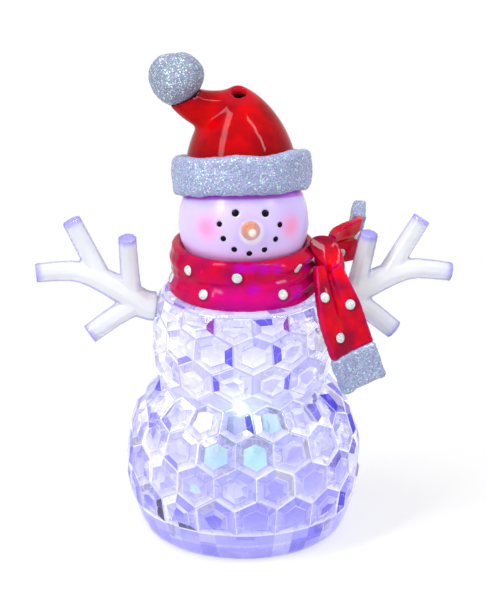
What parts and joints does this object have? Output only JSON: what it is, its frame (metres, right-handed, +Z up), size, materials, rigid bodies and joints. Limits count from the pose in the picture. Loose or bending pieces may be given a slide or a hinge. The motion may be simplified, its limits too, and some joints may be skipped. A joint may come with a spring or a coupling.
{
  "type": "tabletop light-up snowman",
  "caption": "Small clear-acrylic snowman with honeycomb facets, red hat and scarf with glitter trims, twig arms and a battery-lit base; it stands on a table and glows.",
  "frame": {"origin": "on the floor, at the middle of the foot ring and of the arm span", "axes": "+Z up, -Y the way the face looks, +X towards the arm beside the scarf tails"},
  "size_m": [0.1254, 0.071, 0.1473],
  "materials": {
    "clear_acrylic": "clear moulded acrylic with a faint lavender tint, polished",
    "pearl_plastic": "satin pearl white with painted face",
    "nose_orange": "painted orange",
    "red_acrylic": "translucent red acrylic, glossy",
    "silver_glitter": "silver glitter in clear lacquer",
    "white_plastic": "fine satin moulding",
    "black_plastic": "satin",
    "plated_steel": "nickel plated",
    "circuit_green": "solder mask",
    "lamp_epoxy": "water clear, lit",
    "resistor_tan": "lacquered",
    "red_sleeve": "smooth sleeve",
    "yellow_sleeve": "smooth sleeve"
  },
  "bodies": {
    "figure": {"body_shell": "clear_acrylic", "arm_left": "clear_acrylic", "arm_right": "clear_acrylic", "head_shell": "pearl_plastic", "nose": "nose_orange", "hat_crown": "red_acrylic", "hat_brim": "silver_glitter", "hat_pompom": "silver_glitter", "scarf_collar": "red_acrylic", "scarf_knot": "red_acrylic", "scarf_front_tail": "red_acrylic", "scarf_rear_tail": "red_acrylic", "front_tail_hem": "silver_glitter", "rear_tail_hem": "silver_glitter", "base_plate": "white_plastic", "base_screw_1": "plated_steel", "base_screw_2": "plated_steel", "base_screw_3": "plated_steel", "switch_housing": "plated_steel", "battery_cell_1": "plated_steel", "battery_cell_2": "plated_steel", "battery_cell_3": "plated_steel", "contact_plate": "plated_steel", "contact_spring": "plated_steel", "circuit_board": "circuit_green", "led_lamp": "lamp_epoxy", "led_spacer": "white_plastic", "led_lead_plus": "plated_steel", "led_lead_minus": "plated_steel", "resistor": "resistor_tan", "wire_plus": "red_sleeve", "wire_minus": "black_plastic", "wire_switched": "yellow_sleeve"},
    "switch": {"switch_slider": "black_plastic"},
    "door": {"battery_door": "white_plastic"},
    "door_fastener": {"door_screw": "plated_steel"}
  },
  "joints": [
    {"name": "switch_slide", "type": "slide", "parent": "figure", "child": "switch", "axis": [1, 0, 0], "range_m": [-0.003, 0]},
    {"name": "battery_door_lift", "type": "slide", "parent": "figure", "child": "door", "axis": [0, 0, -1], "range_m": [0, 0.02]},
    {"name": "door_screw_turn", "type": "hinge", "parent": "door", "child": "door_fastener", "pos_m": [0.0152, 0.006, 0.0024], "axis": [0, 0, 1], "continuous": true}
  ]
}
